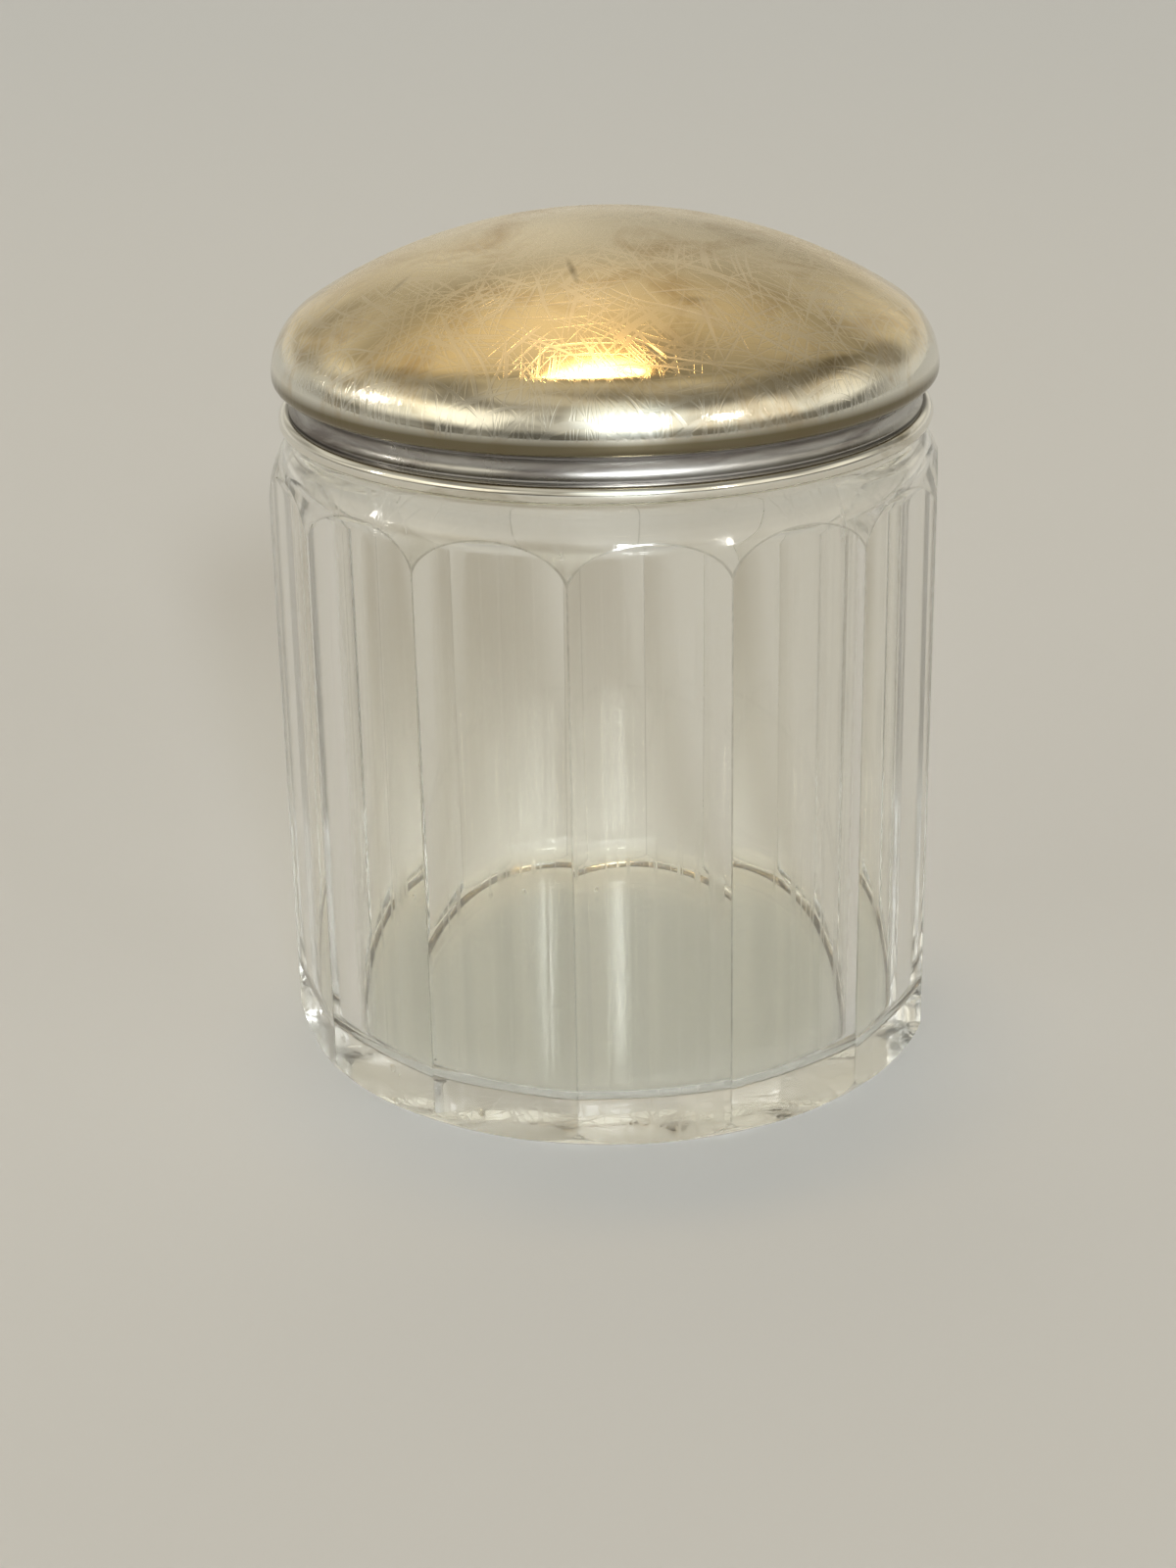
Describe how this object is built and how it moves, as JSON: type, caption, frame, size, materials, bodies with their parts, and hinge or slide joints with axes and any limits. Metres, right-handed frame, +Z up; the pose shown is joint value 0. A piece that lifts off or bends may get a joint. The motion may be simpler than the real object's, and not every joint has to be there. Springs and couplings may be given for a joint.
{
  "type": "dresser jar with lift-off lid",
  "caption": "Round glass dresser jar with flat cut panels, a hollow for salon supplies and a domed silver lid that lifts straight off its neck.",
  "frame": {"origin": "centre of the face that the jar stands on", "axes": "+Z up through the middle of the lid, -Y towards a ridge between two panels, which is the front"},
  "size_m": [0.076, 0.078, 0.0973],
  "materials": {
    "clear_glass": "clear polished lead glass, cut panels",
    "dome_silver": "polished old silver with fine scratches",
    "waist_silver": "polished silver, darkened by tarnish",
    "wire_silver": "bright rubbed silver wire",
    "sleeve_silver": "dull silver, drawn lengthwise"
  },
  "bodies": {
    "jar": {"glass_jar": "clear_glass"},
    "lid": {"lid_dome": "dome_silver", "lid_waist": "waist_silver", "rim_wire": "wire_silver", "neck_sleeve": "sleeve_silver"}
  },
  "joints": [
    {"name": "lid_lift", "type": "slide", "parent": "jar", "child": "lid", "axis": [0, 0, 1], "range_m": [0, 0.035]}
  ]
}
